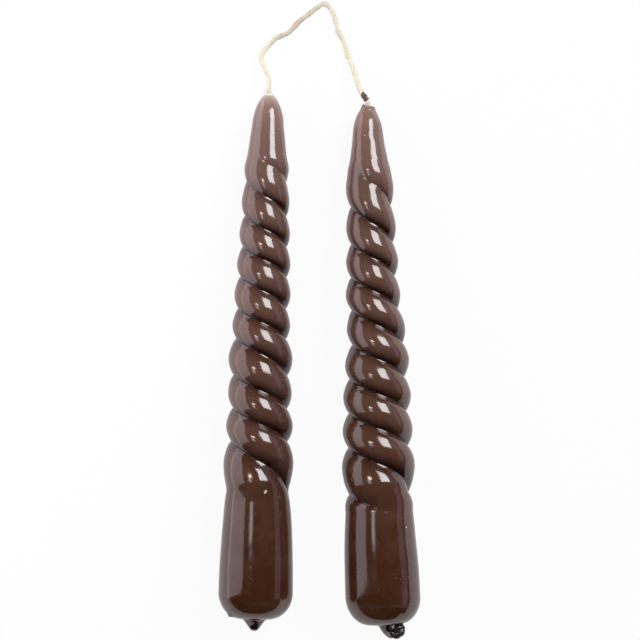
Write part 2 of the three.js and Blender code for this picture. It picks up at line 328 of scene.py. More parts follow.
# Lays a candle on the table with its tip at its place. The taper of the lobes sets how far it dips.
def layingMatrix(candle, piece):
    lobes = candle["lobeRadius"]
    dip = math.atan((lobes[0] - lobes[1]) / (candle["twistEnd"] - candle["twistStart"]))
    turn = Matrix.Rotation(math.radians(candle["lean"]), 4, "Z")
    turn = turn @ Matrix.Rotation(-math.pi / 2 - dip, 4, "X")
    reach = turn @ Vector((0, 0, candle["length"] * mm))
    place = Vector((candle["tipAt"][0] * mm, candle["tipAt"][1] * mm, 0)) - reach
    lowest = (readPoints(piece) @ np.array(turn.to_3x3()).T)[:, 2].min()
    place.z = -lowest
    return Matrix.Translation(place) @ turn


def layDown(piece, candle):
    piece.data.transform(candle["laying"])
    piece.data.update()


# Coats. Of the points over and under a mark's place, the upper one counts as a little nearer.
coat = {"flatMiddle": 3.0, "upperFirst": 0.001}


# Small marks pressed into a laid candle's coat, or drawn out of it: where, how wide and which way
def markCoat(piece, marks):
    points = readPoints(piece) / mm
    for (x, y), spread, push in marks:
        away = np.hypot(points[:, 0] - x, points[:, 1] - y) - points[:, 2] * coat["upperFirst"]
        centre = points[np.argmin(away)]
        near = np.exp(-np.sum((points - centre) ** 2, axis=1) / spread**2)
        points += near[:, None] * np.array(push)
    writePoints(piece, points * mm)


def makeCoat(candle):
    rings = ringHeights(candle, 0, coatFineness, candle["coatTop"])
    closing = [(channelRadius, 0), (coat["flatMiddle"], 0)]
    piece = openTube(f"{candle['name']}Coat", coatFineness["columns"], len(rings) + len(closing))
    pressTwist(piece, candle, 0, rings, footRings=closing)
    makeUneven(piece, candle["lumpSize"], candle["waviness"])
    candle["laying"] = layingMatrix(candle, piece)
    applyModifier(piece, "SOLIDIFY", thickness=coatWall * mm, offset=-1, use_rim=True)
    shadeSmooth(piece)
    layDown(piece, candle)
    markCoat(piece, candle["marks"])
    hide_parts(f"{candle['name']}_colour_coat")
    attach(piece, candle["body"])


makeCoat(leftCandle)
makeCoat(rightCandle)
print("coats are pressed")


# Pale cores: the left one shows at its tip as a bead round the wick, with radii and heights over it
core = {
    "clearance": 0.4, "belowSlant": 1.5, "topHole": channelRadius + 0.02, "hole": channelRadius - 0.1,
    "tipBead": [(1.7, -0.9), (1.75, -0.4), (1.7, -0.05), (1.55, 0.3), (1.35, 0.6), (1.15, 0.8)],
}


def makeCore(candle):
    inset = coatWall + core["clearance"]
    top = candle["length"] - inset - core["belowSlant"] * candle["mouthSlant"]
    rings = ringHeights(candle, inset, coreFineness, top)
    closing = [(core["topHole"], top)]
    if candle["coatTop"] < candle["length"]:
        closing = [(radius, candle["length"] + above) for radius, above in core["tipBead"]]
    closing.append((core["hole"], inset))
    piece = openTube(f"{candle['name']}Core", coreFineness["columns"], len(rings) + len(closing))
    pressTwist(piece, candle, inset, rings, headRings=closing)
    bpy.ops.object.mode_set(mode="EDIT")
    bpy.ops.mesh.select_all(action="DESELECT")
    bpy.ops.mesh.select_mode(type="EDGE")
    bpy.ops.mesh.select_non_manifold(use_wire=False, use_multi_face=False, use_non_contiguous=False,
                                     use_verts=False)
    bpy.ops.mesh.bridge_edge_loops()
    faceOutwards()
    shadeSmooth(piece)
    layDown(piece, candle)
    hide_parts(f"{candle['name']}_wax_core")
    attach(piece, candle["body"])


makeCore(leftCandle)
makeCore(rightCandle)
print("cores are in")


# Free wick: one cord from the left tip over its fold to the right tip. Points near a tip are
# measured across and onwards from it, with the share of the tip's lift that they keep, and points
# near the fold are measured from the fold and lie on the table.
wick = {
    "foldAt": (1.5, 123.1), "foldRise": 0.9, "offTable": 0.05,
    "leftFromTip": [
        (0, 0.9, 1), (0.1, 3.6, 0.96), (0.1, 6.0, 0.82), (-1.6, 9.4, 0.53),
        (-2.6, 12.8, 0.25), (-2.1, 15.2, 0.1), (0.1, 17.6, 0.02),
    ],
    "leftFromFold": [(-5.4, -3.7), (-8.3, -5.8), (-12.2, -9.8), (-16.7, -11.9)],
    "rightFromTip": [
        (0.1, 0.2, 1), (0.1, 2.1, 0.98), (-1.8, 4.7, 0.87), (-3.1, 8.1, 0.65),
        (-4.5, 12.8, 0.35), (-6.3, 17.7, 0.09),
    ],
    "rightFromFold": [(3.1, -3.0), (4.8, -9.2), (6.5, -12.4)],
    "step": 0.25, "sides": 24, "plies": 2, "plyDepth": 0.16, "pitch": 12.5,
    "width": 0.93, "thickness": 0.68, "faceTurn": 34.0, "faceStretch": 31.0,
    "waves": [(0.07, 1.9, 0), (0.05, 4.3, 1)], "thinAtTip": 0.8, "thickens": (2.0, 12.0),
    "bumps": [(-16.2, 111.6), (-6.7, 117.3), (6.3, 113.9), (10.0, 106.1)], "bumpSize": 0.22, "bumpReach": 1.1,
    "bends": (0.002, 0.003),
}
lyingHeight = wick["offTable"] + wickRadius
foldX, foldY = wick["foldAt"]
foldPoint = (foldX, foldY + wick["foldRise"], lyingHeight)

# Millimetres to one unit of a skin's map, along its route
mapUnit = 10.0


def legPoints(candle, fromTip, fromFold):
    tip = candle["laying"] @ Vector((0, 0, candle["length"] * mm)) / mm
    points = []
    for across, onward, share in fromTip:
        height = between((wickRadius, tip.z), share)
        points.append((tip.x + across, tip.y + onward, max(height, lyingHeight)))
    for across, onward in reversed(fromFold):
        points.append((foldPoint[0] + across, foldPoint[1] + onward, lyingHeight))
    return points


# A smooth curve through given points
def smoothThrough(points, perStretch=24):
    knots = np.array(points)
    knots = np.vstack([2 * knots[0] - knots[1], knots, 2 * knots[-1] - knots[-2]])
    curve = []
    for before, here, there, after in zip(knots, knots[1:], knots[2:], knots[3:]):
        for step in range(perStretch):
            t = step / perStretch
            curve.append(0.5 * (2 * here + (there - before) * t
                                + (2 * before - 5 * here + 4 * there - after) * t**2
                                + (3 * here - before - 3 * there + after) * t**3))
    curve.append(knots[-2])
    return np.array(curve)


# Points at even steps along a curve, and how far along it they lie
def evenlySpaced(curve, step):
    gone = np.concatenate([[0], np.cumsum(np.linalg.norm(np.diff(curve, axis=0), axis=1))])
    count = max(2, round(gone[-1] / step) + 1)
    places = np.linspace(0, gone[-1], count)
    return np.stack([np.interp(places, gone, curve[:, axis]) for axis in range(3)], axis=1), places


def unitLong(vectors):
    return vectors / np.linalg.norm(vectors, axis=1, keepdims=True)


# The direction along a route at each of its points, and two directions square to it. The first of
# them is also square to the given one, so that nothing rolls.
def directions(route, squareTo):
    along = unitLong(np.gradient(route, axis=0))
    side = unitLong(np.cross(along, squareTo))
    return along, side, np.cross(side, along)


# A closed skin round a route, from rings of points, with a UV map that runs round and along it
def skinAlong(name, rings, places, capped=True):
    count, sides = rings.shape[:2]
    faces = []
    for ring in range(count - 1):
        for side in range(sides):
            after = (side + 1) % sides
            low, high = ring * sides, (ring + 1) * sides
            faces.append((low + side, high + side, high + after, low + after))
    if capped:
        faces.append(tuple(range(sides)))
        faces.append(tuple(reversed(range((count - 1) * sides, count * sides))))
    mesh = bpy.data.meshes.new(name)
    mesh.from_pydata((rings.reshape(-1, 3) * mm).tolist(), [], faces)
    skin = mesh.uv_layers.new(name="skin")
    for face in mesh.polygons:
        wraps = any(point % sides == sides - 1 for point in face.vertices)
        for loop in face.loop_indices:
            ring, side = divmod(mesh.loops[loop].vertex_index, sides)
            around = sides if wraps and side == 0 else side
            skin.data[loop].uv = (around / sides, places[ring] / mapUnit)
    piece = bpy.data.objects.new(name, mesh)
    bpy.context.collection.objects.link(piece)
    mesh.shade_smooth()
    return piece


leftPoints = legPoints(leftCandle, wick["leftFromTip"], wick["leftFromFold"])
rightPoints = legPoints(rightCandle, wick["rightFromTip"], wick["rightFromFold"])
wickCurve = smoothThrough([*leftPoints, foldPoint, *reversed(rightPoints)])
wickRoute, wickPlaces = evenlySpaced(wickCurve, wick["step"])
wickLength = wickPlaces[-1]


# The rings of the wick's skin: a flattened section with a crease between its plies, whose flat faces
# turn a little one way and the other
def wickRings(route, places, extra=0.0):
    side, up = directions(route, (0, 0, 1))[1:]
    places = places[:, None]
    angle = np.linspace(0, 2 * math.pi, wick["sides"], endpoint=False)[None, :]
    ply = 2 * math.pi * places / wick["pitch"]
    depth = 1 - wick["plyDepth"] * (1 - np.abs(np.cos(wick["plies"] / 2 * (angle + ply))))
    swell = 1 + sum(size * np.sin(places * rate + start) for size, rate, start in wick["waves"])
    swell = swell * between((wick["thinAtTip"], 1), blendIn(places, *wick["thickens"]))
    for x, y in wick["bumps"]:
        away = np.hypot(route[:, 0] - x, route[:, 1] - y)[:, None]
        swell = swell + wick["bumpSize"] * np.exp(-((away / wick["bumpReach"]) ** 2))
    wide = (wick["width"] * depth * swell + extra) * np.cos(angle)
    high = (wick["thickness"] * depth * swell + extra) * np.sin(angle)
    face = math.radians(wick["faceTurn"]) * np.sin(2 * math.pi * places / wick["faceStretch"])
    across = wide * np.cos(face) - high * np.sin(face)
    upward = wide * np.sin(face) + high * np.cos(face)
    return route[:, None, :] + across[:, :, None] * side[:, None, :] + upward[:, :, None] * up[:, None, :]


wickCord = skinAlong("wickCord", wickRings(wickRoute, wickPlaces), wickPlaces)
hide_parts("wick_left_leg", "wick_right_leg")
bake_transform(wickCord)
print("wick is laid:", round(float(wickLength), 1), "mm")


# The brown film that the last dip left on the wick above the right tip, and the pale crumbs below it
sleeve = {"aboveTip": 1.6, "length": 3.6, "over": 0.06, "under": 0.02, "slant": 0.5}
crumbs = {"from": 0.1, "to": 1.9, "over": 0.16, "lumps": (1.1, 0.55)}


# The part of the wick between two distances from the right tip
def stretchOfWick(low, high):
    part = (wickPlaces >= wickLength - high) & (wickPlaces <= wickLength - low)
    return wickRoute[part], wickPlaces[part]


def makeSleeve():
    route, places = stretchOfWick(sleeve["aboveTip"], sleeve["aboveTip"] + sleeve["length"])
    along = directions(route, (0, 0, 1))[0]
    slant = sleeve["slant"] * np.cos(np.linspace(0, 2 * math.pi, wick["sides"], endpoint=False))
    slant = slant[None, :, None] * along[:, None, :]
    outer = wickRings(route, places, sleeve["over"]) + slant
    inner = wickRings(route, places, sleeve["under"]) + slant
    piece = skinAlong("wickSleeve", np.concatenate([outer, inner[::-1], outer[:1]]),
                      np.concatenate([places, places[::-1], places[:1]]), capped=False)
    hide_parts("right_wick_sleeve")
    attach(piece, "right_candle")


def makeCrumbs():
    route, places = stretchOfWick(crumbs["from"], crumbs["to"])
    piece = skinAlong("tipCrumbs", wickRings(route, places, crumbs["over"]), places)
    makeUneven(piece, *crumbs["lumps"])
    shadeSmooth(piece)
    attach(piece, "right_candle")


makeSleeve()
makeCrumbs()


# Small round bodies, each carried along a short route. The points of a route are measured in a
# candle's own X, Y and axis directions from the middle of one of its ends, with a radius at each.
# Up is -Y before a candle is laid down. First the wick tails under the bases.
leftTail = {
    "leftTailCone": {"replaces": "left_wick_tail", "sides": 32, "step": 0.12, "route": [
        (-0.2, 0, 0.4, 4.8), (-0.2, 0, -0.2, 4.1), (-0.2, 0, -0.8, 3.45), (-0.2, 0, -1.5, 2.85),
        (-0.2, 0, -2.3, 2.3), (-0.2, 0, -3.0, 1.75), (-0.2, 0, -3.35, 1.2), (-0.2, 0, -3.5, 0.2),
    ]},
    "leftTailEnd": {"sides": 28, "step": 0.12, "route": [
        (-0.15, -2.0, -0.4, 0.5), (-0.15, -2.2, -0.8, 1.3), (-0.15, -2.0, -1.5, 1.8),
        (-0.15, -1.5, -2.3, 1.95), (-0.15, -0.9, -3.1, 1.5), (-0.15, -0.4, -3.85, 0.3),
    ]},
}
rightTail = {
    "rightTailCone": {"replaces": "right_wick_tail", "sides": 32, "step": 0.15, "route": [
        (0.6, 0, 0.4, 3.0), (0.7, 0, -0.4, 2.5), (0.9, 0, -1.4, 2.05), (1.3, 0, -2.4, 1.65),
        (1.9, 0, -3.3, 1.3), (2.6, 0, -3.8, 1.0), (3.2, 0, -3.9, 0.3),
    ]},
    "rightTailCurl": {"sides": 28, "step": 0.15, "lumps": (1.9, 0.75), "route": [
        (1.6, -0.6, -1.6, 0.6), (2.3, -0.8, -2.6, 1.0), (3.2, -0.8, -3.4, 1.25), (4.4, -0.8, -3.3, 1.35),
        (5.5, -0.7, -2.4, 1.4), (5.7, -0.6, -1.3, 1.25), (4.8, -0.9, -0.7, 1.2), (3.8, -1.3, -1.3, 1.2),
        (3.2, -1.4, -2.1, 0.8),
    ]},
    # A near-black blob on the cone's front is painted shade, standing for the dark of its hollow
    "rightTailPaintedShade": {"sides": 20, "step": 0.15, "route": [
        (0.9, -1.6, 0.2, 0.4), (1.0, -1.9, -0.4, 0.9), (1.1, -1.8, -1.2, 1.0), (1.2, -1.5, -1.9, 0.9),
        (1.4, -1.2, -2.4, 0.2),
    ]},
    "rightTailCrumb": {"sides": 12, "step": 0.15, "route": [
        (2.7, -1.9, 0.1, 0.2), (2.8, -2.3, -0.3, 0.5), (2.8, -2.2, -0.7, 0.5), (2.8, -1.8, -1.1, 0.2),
    ]},
}
# Dark wax in the open mouth of the right tip, in front of the wick
mouth = {
    "mouthWax": {"sides": 24, "step": 0.12, "route": [
        (-0.15, -0.5, -1.6, 1.2), (-0.15, -0.5, -0.8, 1.25), (-0.15, -0.5, -0.3, 1.2),
        (-0.15, -0.5, -0.1, 0.2),
    ]},
    "rimSpike": {"sides": 24, "step": 0.12, "route": [
        (-1.2, -0.8, -0.5, 0.3), (-1.25, -0.85, 0.2, 0.25), (-1.2, -0.9, 0.7, 0.16), (-1.25, -0.9, 1.1, 0.05),
    ]},
}
# One cotton fibre stands off the wick beside the left tip
fibre = {
    "strayFibre": {"sides": 8, "step": 0.15, "route": [
        (-0.3, -0.5, 1.0, 0.13), (-1.0, -0.7, 1.5, 0.12), (-1.6, -0.9, 1.5, 0.1), (-2.0, -0.8, 2.5, 0.06),
    ]},
}


def closeEnds(piece):
    selectOnly(piece)
    bpy.ops.object.mode_set(mode="EDIT")
    bpy.ops.mesh.select_all(action="SELECT")
    bpy.ops.mesh.fill_holes(sides=0)
    faceOutwards()


def makeStub(name, settings, start):
    knots = np.array(settings["route"], float)
    knots[:, 2] += start
    route = evenlySpaced(smoothThrough(knots[:, :3]), settings["step"])[0]
    gaps = np.linalg.norm(np.diff(knots[:, :3], axis=0), axis=1)
    gone = np.concatenate([[0], np.cumsum(gaps)]) / gaps.sum()
    radius = np.interp(np.linspace(0, 1, len(route)), gone, knots[:, 3])
    stub = openTube(name, settings["sides"], len(route))
    ring, angle = ringAndAngle(stub, len(route))
    across, third = directions(route, (0, 1, 0))[1:]
    outward = np.cos(angle)[:, None] * across[ring] - np.sin(angle)[:, None] * third[ring]
    writePoints(stub, (route[ring] + radius[ring][:, None] * outward) * mm)
    closeEnds(stub)
    return stub


# Makes the round bodies of a settings dictionary and lays them down with their candle
def addStubs(stubs, candle, start):
    for name, settings in stubs.items():
        piece = makeStub(name, settings, start)
        if "lumps" in settings:
            makeUneven(piece, *settings["lumps"])
        shadeSmooth(piece)
        layDown(piece, candle)
        if "replaces" in settings:
            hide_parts(settings["replaces"])
        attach(piece, candle["body"])


addStubs(leftTail, leftCandle, 0)
addStubs(rightTail, rightCandle, 0)
addStubs(mouth, rightCandle, rightCandle["length"])
addStubs(fibre, leftCandle, leftCandle["length"])
print("sleeve, crumbs, tails and stray fibre are on")


# Short ways to add nodes. A value is a number, a colour or the socket of another node.
def put(tree, socket, value):
    if isinstance(value, bpy.types.NodeSocket):
        tree.links.new(value, socket)
    else:
        socket.default_value = value


def addNode(tree, kind):
    return tree.nodes.new("ShaderNode" + kind)


def maths(tree, operation, *values):
    node = addNode(tree, "Math")
    node.operation = operation
    for socket, value in zip(node.inputs, values):
        put(tree, socket, value)
    return node.outputs[0]


def times(tree, one, other):
    return maths(tree, "MULTIPLY", one, other)


def ranged(tree, source, low, high, toLow=0.0, toHigh=1.0):
    node = addNode(tree, "MapRange")
    put(tree, node.inputs["Value"], source)
    for title, value in (("From Min", low), ("From Max", high), ("To Min", toLow), ("To Max", toHigh)):
        node.inputs[title].default_value = value
    return node.outputs[0]


# Inputs 6 and 7 of a mix node are its two colours
def mixed(tree, share, first, second):
    node = addNode(tree, "Mix")
    node.data_type = "RGBA"
    put(tree, node.inputs[0], share)
    put(tree, node.inputs[6], first)
    put(tree, node.inputs[7], second)
    return node.outputs[2]


def noise(tree, vector, scale, detail=2.0):
    node = addNode(tree, "TexNoise")
    node.inputs["Scale"].default_value = scale
    node.inputs["Detail"].default_value = detail
    put(tree, node.inputs["Vector"], vector)
    return node.outputs["Fac"]


# Patches of noise: their scale and detail, and the noise values at which a patch begins and is full
def patches(tree, vector, settings, toLow=0.0, toHigh=1.0):
    scale, detail, begins, full = settings
    return ranged(tree, noise(tree, vector, scale, detail), begins, full, toLow, toHigh)


def objectPlace(tree):
    return addNode(tree, "TexCoord").outputs["Object"]


# One coordinate of a place or of a skin's map
def alongAxis(tree, vector, axis):
    split = addNode(tree, "SeparateXYZ")
    put(tree, split.inputs[0], vector)
    return split.outputs[axis]


def newMaterial(name):
    material = bpy.data.materials.new(name)
    material.use_nodes = True
    material.node_tree.nodes.clear()
    return material, material.node_tree


# Floor and world, with how strongly each kind of ray sees their white
studio = {
    "floorSize": 4.0, "floorColor": (0.9, 0.9, 0.9), "mirroredTint": (1.0, 0.92, 0.94),
    "floorShows": {"Is Camera Ray": 0.93, "Is Transmission Ray": 0.93, "Is Glossy Ray": 0.38},
    "worldShows": {
        "Is Camera Ray": 1.0, "Is Transmission Ray": 1.0, "Is Glossy Ray": 0.015, "Is Diffuse Ray": 0.46,
    },
}


def sumOfRays(tree, shares):
    path = addNode(tree, "LightPath")
    total = 0.0
    for kind, share in shares.items():
        total = maths(tree, "MULTIPLY_ADD", path.outputs[kind], share, total)
    return total


def makeFloor():
    deselectAll()
    bpy.ops.mesh.primitive_plane_add(size=studio["floorSize"], location=(0, 0, 0))
    floor = bpy.context.object
    floor.name = "floor"
    material, tree = newMaterial("paleFloor")
    matt = addNode(tree, "BsdfDiffuse")
    matt.inputs["Color"].default_value = (*studio["floorColor"], 1)
    glow = addNode(tree, "Emission")
    mirrored = addNode(tree, "LightPath").outputs["Is Glossy Ray"]
    put(tree, glow.inputs["Color"], mixed(tree, mirrored, (1, 1, 1, 1), (*studio["mirroredTint"], 1)))
    blend = addNode(tree, "MixShader")
    put(tree, blend.inputs[0], sumOfRays(tree, studio["floorShows"]))
    put(tree, blend.inputs[1], matt.outputs[0])
    put(tree, blend.inputs[2], glow.outputs[0])
    out = addNode(tree, "OutputMaterial")
    put(tree, out.inputs["Surface"], blend.outputs[0])
    floor.data.materials.append(material)


def makeWorld():
    world = bpy.data.worlds.new("studio")
    bpy.context.scene.world = world
    world.use_nodes = True
    tree = world.node_tree
    tree.nodes.clear()
    white = addNode(tree, "Background")
    put(tree, white.inputs["Strength"], sumOfRays(tree, studio["worldShows"]))
    out = addNode(tree, "OutputWorld")
    put(tree, out.inputs["Surface"], white.outputs[0])


makeFloor()
makeWorld()


# Lamps, in metres from the middle of the pair. Each faces the pair, unless "faces" turns it.
lamps = {
    "keyBox": {"at": (0.55, 0.63, 0.8), "size": (0.6, 0.55), "radiance": 8.0, "color": (0.98, 1.0, 0.99)},
    "sideCard": {
        "at": (-0.18, 0.105, 0.045), "faces": (1, 0, 0), "roll": 12, "size": (0.24, 0.412),
        "radiance": 2.0, "color": (1.0, 0.89, 0.975), "fades": (0.58, 0.93),
    },
    "coolStrip": {
        "at": (-0.163, 0.08, 0.44), "size": (0.085, 0.19), "radiance": 2.6, "color": (0.9, 0.94, 1),
    },
    "coolSpot": {"at": (-0.15, 0.16, 0.44), "size": (0.05, 0.03), "radiance": 16, "color": (0.95, 0.97, 1)},
    "warmSpot": {"at": (-0.1, 0.165, 0.44), "size": (0.026, 0.026), "radiance": 24, "color": (1, 0.42, 0.16)},
    "rightStrip": {"at": (1.13, 0.25, 0.39), "size": (0.44, 1.6), "radiance": 0.38, "color": (0.9, 0.7, 1)},
}


# Makes a lamp weaker at one end of its length
def fadeAlong(light, shares):
    light.use_nodes = True
    tree = light.node_tree
    tree.nodes.clear()
    overLamp = alongAxis(tree, addNode(tree, "NewGeometry").outputs["Parametric"], "Y")
    glow = addNode(tree, "Emission")
    put(tree, glow.inputs["Strength"], ranged(tree, overLamp, 0.0, 1.0, *shares))
    put(tree, addNode(tree, "OutputLight").inputs["Surface"], glow.outputs[0])


def addLamp(name, lamp):
    away = -Vector(lamp["faces"]) if "faces" in lamp else Vector(lamp["at"]).normalized()
    across = Vector((0, 1, 0)).cross(away).normalized()
    facing = Matrix((across, away.cross(across), away)).transposed()
    facing = facing @ Matrix.Rotation(math.radians(lamp.get("roll", 0)), 3, "Z")
    deselectAll()
    bpy.ops.object.light_add(type="AREA", location=lamp["at"], rotation=facing.to_euler())
    lampObject = bpy.context.object
    lampObject.name = name
    light = lampObject.data
    light.shape = "RECTANGLE"
    light.size, light.size_y = lamp["size"]
    light.energy = lamp["radiance"] * math.pi * light.size * light.size_y
    light.color = lamp["color"]
    if "fades" in lamp:
        fadeAlong(light, lamp["fades"])


for name, lamp in lamps.items():
    addLamp(name, lamp)
print("lamps are lit")


# Shared effects: each is a node group that takes colours and numbers, for the materials that use it
def newGroup(name, colors, numbers, gives):
    group = bpy.data.node_groups.new(name, "ShaderNodeTree")
    for title in (*colors, *numbers):
        kind = "NodeSocketColor" if title in colors else "NodeSocketFloat"
        group.interface.new_socket(name=title, in_out="INPUT", socket_type=kind)
    for title in gives:
        kind = "NodeSocketColor" if title == "Color" else "NodeSocketFloat"
        group.interface.new_socket(name=title, in_out="OUTPUT", socket_type=kind)
    return group, group.nodes.new("NodeGroupInput").outputs, group.nodes.new("NodeGroupOutput").inputs


def addGroup(tree, group, values):
    node = addNode(tree, "Group")
    node.node_tree = group
    for title, value in values.items():
        put(tree, node.inputs[title], value)
    return node


# Wax as hand dipping leaves it: lumps, fine orange peel, cloudy patches and specks of dust; on the curl the
# pale specks are painted glints
dippedGrain = {
    "clouds": (130, 3.0, 0.42, 0.7), "specks": (1500, 1.0, 0.7, 0.78), "dustAndGlintPatches": (220, 2.0, 0.5, 0.62),
    "handled": (320, 2.0, 0.35, 0.75), "duller": 0.08, "dustDuller": 0.4,
    "lumps": (190, 1.0), "peel": 950, "peelHeight": 0.02, "dustHeight": 0.1,
}


def makeDippedWax():
    grain = dippedGrain
    tree, taken, given = newGroup("dippedWax", ["Color", "Cloud Color"], ["Cloudiness", "Dust And Glints", "Gloss"],
                                  ["Color", "Roughness", "Height"])
    place = objectPlace(tree)
    cloudShare = times(tree, patches(tree, place, grain["clouds"]), taken["Cloudiness"])
    specks, dustAndGlintPatches = patches(tree, place, grain["specks"]), patches(tree, place, grain["dustAndGlintPatches"])
    dustAndGlintShare = times(tree, times(tree, specks, dustAndGlintPatches), taken["Dust And Glints"])
    color = mixed(tree, cloudShare, taken["Color"], taken["Cloud Color"])
    put(tree, given["Color"], mixed(tree, dustAndGlintShare, color, taken["Cloud Color"]))
    handled = patches(tree, place, grain["handled"])
    roughness = maths(tree, "MULTIPLY_ADD", handled, grain["duller"], taken["Gloss"])
    put(tree, given["Roughness"], maths(tree, "MULTIPLY_ADD", dustAndGlintShare, grain["dustDuller"], roughness))
    peel = noise(tree, place, grain["peel"])
    height = maths(tree, "MULTIPLY_ADD", peel, grain["peelHeight"], noise(tree, place, *grain["lumps"]))
    put(tree, given["Height"], maths(tree, "MULTIPLY_ADD", dustAndGlintShare, grain["dustHeight"], height))
    return tree


# Rings that each dip leaves round a base: a thin uneven line at a place along Y
tideGrain = {"wander": (90, 1.0), "waviness": 0.003, "gaps": (240, 2.0, 0.38, 0.62)}


def makeTideLine():
    tree, taken, given = newGroup("tideLine", [], ["At Y", "Width"], ["Mask"])
    place = objectPlace(tree)
    wander = maths(tree, "SUBTRACT", noise(tree, place, *tideGrain["wander"]), 0.5)
    wander = times(tree, wander, tideGrain["waviness"])
    away = maths(tree, "SUBTRACT", alongAxis(tree, place, "Y"), taken["At Y"])
    away = maths(tree, "ABSOLUTE", maths(tree, "ADD", away, wander))
    line = maths(tree, "SUBTRACT", 1.0, maths(tree, "DIVIDE", away, taken["Width"]))
    line = maths(tree, "MAXIMUM", line, 0.0)
    put(tree, given["Mask"], times(tree, line, patches(tree, place, tideGrain["gaps"])))
    return tree


# A small ragged fleck at a place on the table plane, seen wherever the surface passes over it
fleckGrain = {"ragged": (1300, 1.0), "raggedness": 2.2, "edge": (0.35, 0.6), "rim": (0.0, 0.2)}


def makeFleck():
    tree, taken, given = newGroup("fleck", [], ["At X", "At Y", "Reach"], ["Mask"])
    place = objectPlace(tree)
    acrossTo = maths(tree, "SUBTRACT", alongAxis(tree, place, "X"), taken["At X"])
    alongTo = maths(tree, "SUBTRACT", alongAxis(tree, place, "Y"), taken["At Y"])
    away = maths(tree, "MULTIPLY_ADD", acrossTo, acrossTo, times(tree, alongTo, alongTo))
    away = maths(tree, "SQRT", away)
    near = maths(tree, "SUBTRACT", 1.0, maths(tree, "DIVIDE", away, taken["Reach"]))
    ragged = maths(tree, "SUBTRACT", noise(tree, place, *fleckGrain["ragged"]), 0.5)
    ragged = maths(tree, "ADD", near, times(tree, ragged, fleckGrain["raggedness"]))
    inside = ranged(tree, near, *fleckGrain["rim"])
    put(tree, given["Mask"], times(tree, ranged(tree, ragged, *fleckGrain["edge"]), inside))
    return tree


# Twisted cotton from a skin's own map: fibres along the plies, grooves between them, a grey stretch
cottonGrain = {
    "fibreTurns": 9.0, "fibreStretch": 0.9, "strandDetail": 3.0, "grooveWidth": 0.4, "grooveShare": 0.4,
    "soiled": (180, 3.0, 0.3, 0.6), "leastSoiled": 0.4, "darkStrands": (0.3, 0.6), "strandShare": 0.25,
    "roughness": (0.9, 0.65), "roughStrands": (0.2, 0.8), "plyHeight": 0.6,
}


def makeSpunCotton():
    grain = cottonGrain
    tree, taken, given = newGroup("spunCotton", ["Color", "Groove Color", "Soiled Color"],
                                  ["Plies", "Pitch", "Soiled"], ["Color", "Roughness", "Height"])
    skin = addNode(tree, "UVMap")
    skin.uv_map = "skin"
    along = times(tree, alongAxis(tree, skin.outputs["UV"], "Y"), mapUnit)
    turned = maths(tree, "DIVIDE", along, taken["Pitch"])
    angle = maths(tree, "ADD", alongAxis(tree, skin.outputs["UV"], "X"), turned)
    angle = times(tree, angle, 2 * math.pi)
    fibres = addNode(tree, "CombineXYZ")
    for axis, operation in (("X", "COSINE"), ("Y", "SINE")):
        wave = maths(tree, operation, angle)
        put(tree, fibres.inputs[axis], times(tree, wave, grain["fibreTurns"]))
    put(tree, fibres.inputs["Z"], times(tree, along, grain["fibreStretch"]))
    strands = noise(tree, fibres.outputs[0], 1.0, grain["strandDetail"])
    plyAngle = times(tree, angle, maths(tree, "DIVIDE", taken["Plies"], 2.0))
    plyWave = maths(tree, "ABSOLUTE", maths(tree, "COSINE", plyAngle))
    groove = ranged(tree, plyWave, 0.0, grain["grooveWidth"], grain["grooveShare"], 0.0)
    soiled = patches(tree, objectPlace(tree), grain["soiled"], grain["leastSoiled"], 1.0)
    soiled = times(tree, soiled, taken["Soiled"])
    strandShare = ranged(tree, strands, *grain["darkStrands"], grain["strandShare"], 0.0)
    color = mixed(tree, soiled, taken["Color"], taken["Soiled Color"])
    color = mixed(tree, groove, color, taken["Groove Color"])
    put(tree, given["Color"], mixed(tree, strandShare, color, taken["Groove Color"]))
    put(tree, given["Roughness"], ranged(tree, strands, *grain["roughStrands"], *grain["roughness"]))
    put(tree, given["Height"], maths(tree, "MULTIPLY_ADD", plyWave, grain["plyHeight"], strands))
    return tree


dippedWax = makeDippedWax()
tideLine = makeTideLine()
fleck = makeFleck()
spunCotton = makeSpunCotton()


# Ends a material's tree with a shader that takes a group's colour, roughness and height
def dress(tree, group, look, values):
    shader = addNode(tree, "BsdfPrincipled")
    if "ior" in look:
        shader.inputs["IOR"].default_value = look["ior"]
    skin = addGroup(tree, group, values)
    bump = addNode(tree, "Bump")
    bump.inputs["Distance"].default_value = look["bump"]
    put(tree, bump.inputs["Height"], skin.outputs["Height"])
    put(tree, shader.inputs["Base Color"], skin.outputs["Color"])
    put(tree, shader.inputs["Roughness"], skin.outputs["Roughness"])
    put(tree, shader.inputs["Normal"], bump.outputs["Normal"])
    out = addNode(tree, "OutputMaterial")
    put(tree, out.inputs["Surface"], shader.outputs[0])
    return shader, skin


def waxValues(look, color):
    return {"Color": color, "Cloud Color": (*look["cloud"], 1), "Cloudiness": look["cloudiness"],
            "Dust And Glints": look["dustAndGlints"], "Gloss": look["gloss"]}
